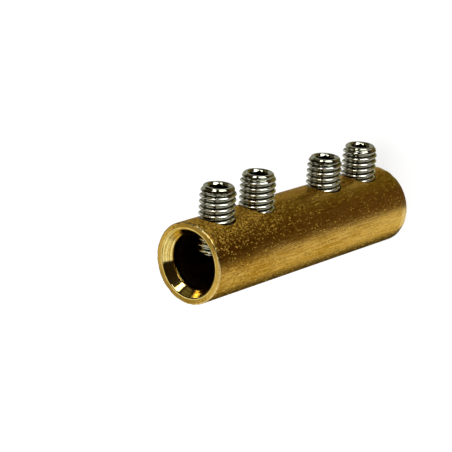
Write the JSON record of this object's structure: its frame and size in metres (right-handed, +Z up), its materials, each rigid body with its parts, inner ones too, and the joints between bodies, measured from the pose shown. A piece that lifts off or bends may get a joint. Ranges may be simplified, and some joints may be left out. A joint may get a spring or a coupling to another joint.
{
  "type": "mechanical cable connector",
  "caption": "Tubular brass in-line connector, bored through and countersunk at both ends, with a row of hexagon socket set screws that clamp the cable ends.",
  "frame": {"origin": "centre of the lower end face, on the axis of the bore, where the tube stands", "axes": "+Z up along the cable bore to the upper mouth, -Y the front, where the set screws point"},
  "size_m": [0.0135, 0.0189, 0.05],
  "materials": {
    "brass": "drawn and turned brass, lightly scratched",
    "steel": "bright zinc-plated steel"
  },
  "bodies": {
    "tube": {"connector_tube": "brass"},
    "upper_end": {"upper_end_screw": "steel"},
    "upper_middle": {"upper_middle_screw": "steel"},
    "lower_middle": {"lower_middle_screw": "steel"},
    "lower_end": {"lower_end_screw": "steel"}
  },
  "joints": [
    {"name": "upper_end_screw_travel", "type": "slide", "parent": "tube", "child": "upper_end", "axis": [0, -1, 0], "range_m": [-0.0039, 0.0047]},
    {"name": "upper_middle_screw_travel", "type": "slide", "parent": "tube", "child": "upper_middle", "axis": [0, -1, 0], "range_m": [-0.0042, 0.0044]},
    {"name": "lower_middle_screw_travel", "type": "slide", "parent": "tube", "child": "lower_middle", "axis": [0, -1, 0], "range_m": [-0.0037, 0.0049]},
    {"name": "lower_end_screw_travel", "type": "slide", "parent": "tube", "child": "lower_end", "axis": [0, -1, 0], "range_m": [-0.004, 0.0046]}
  ]
}
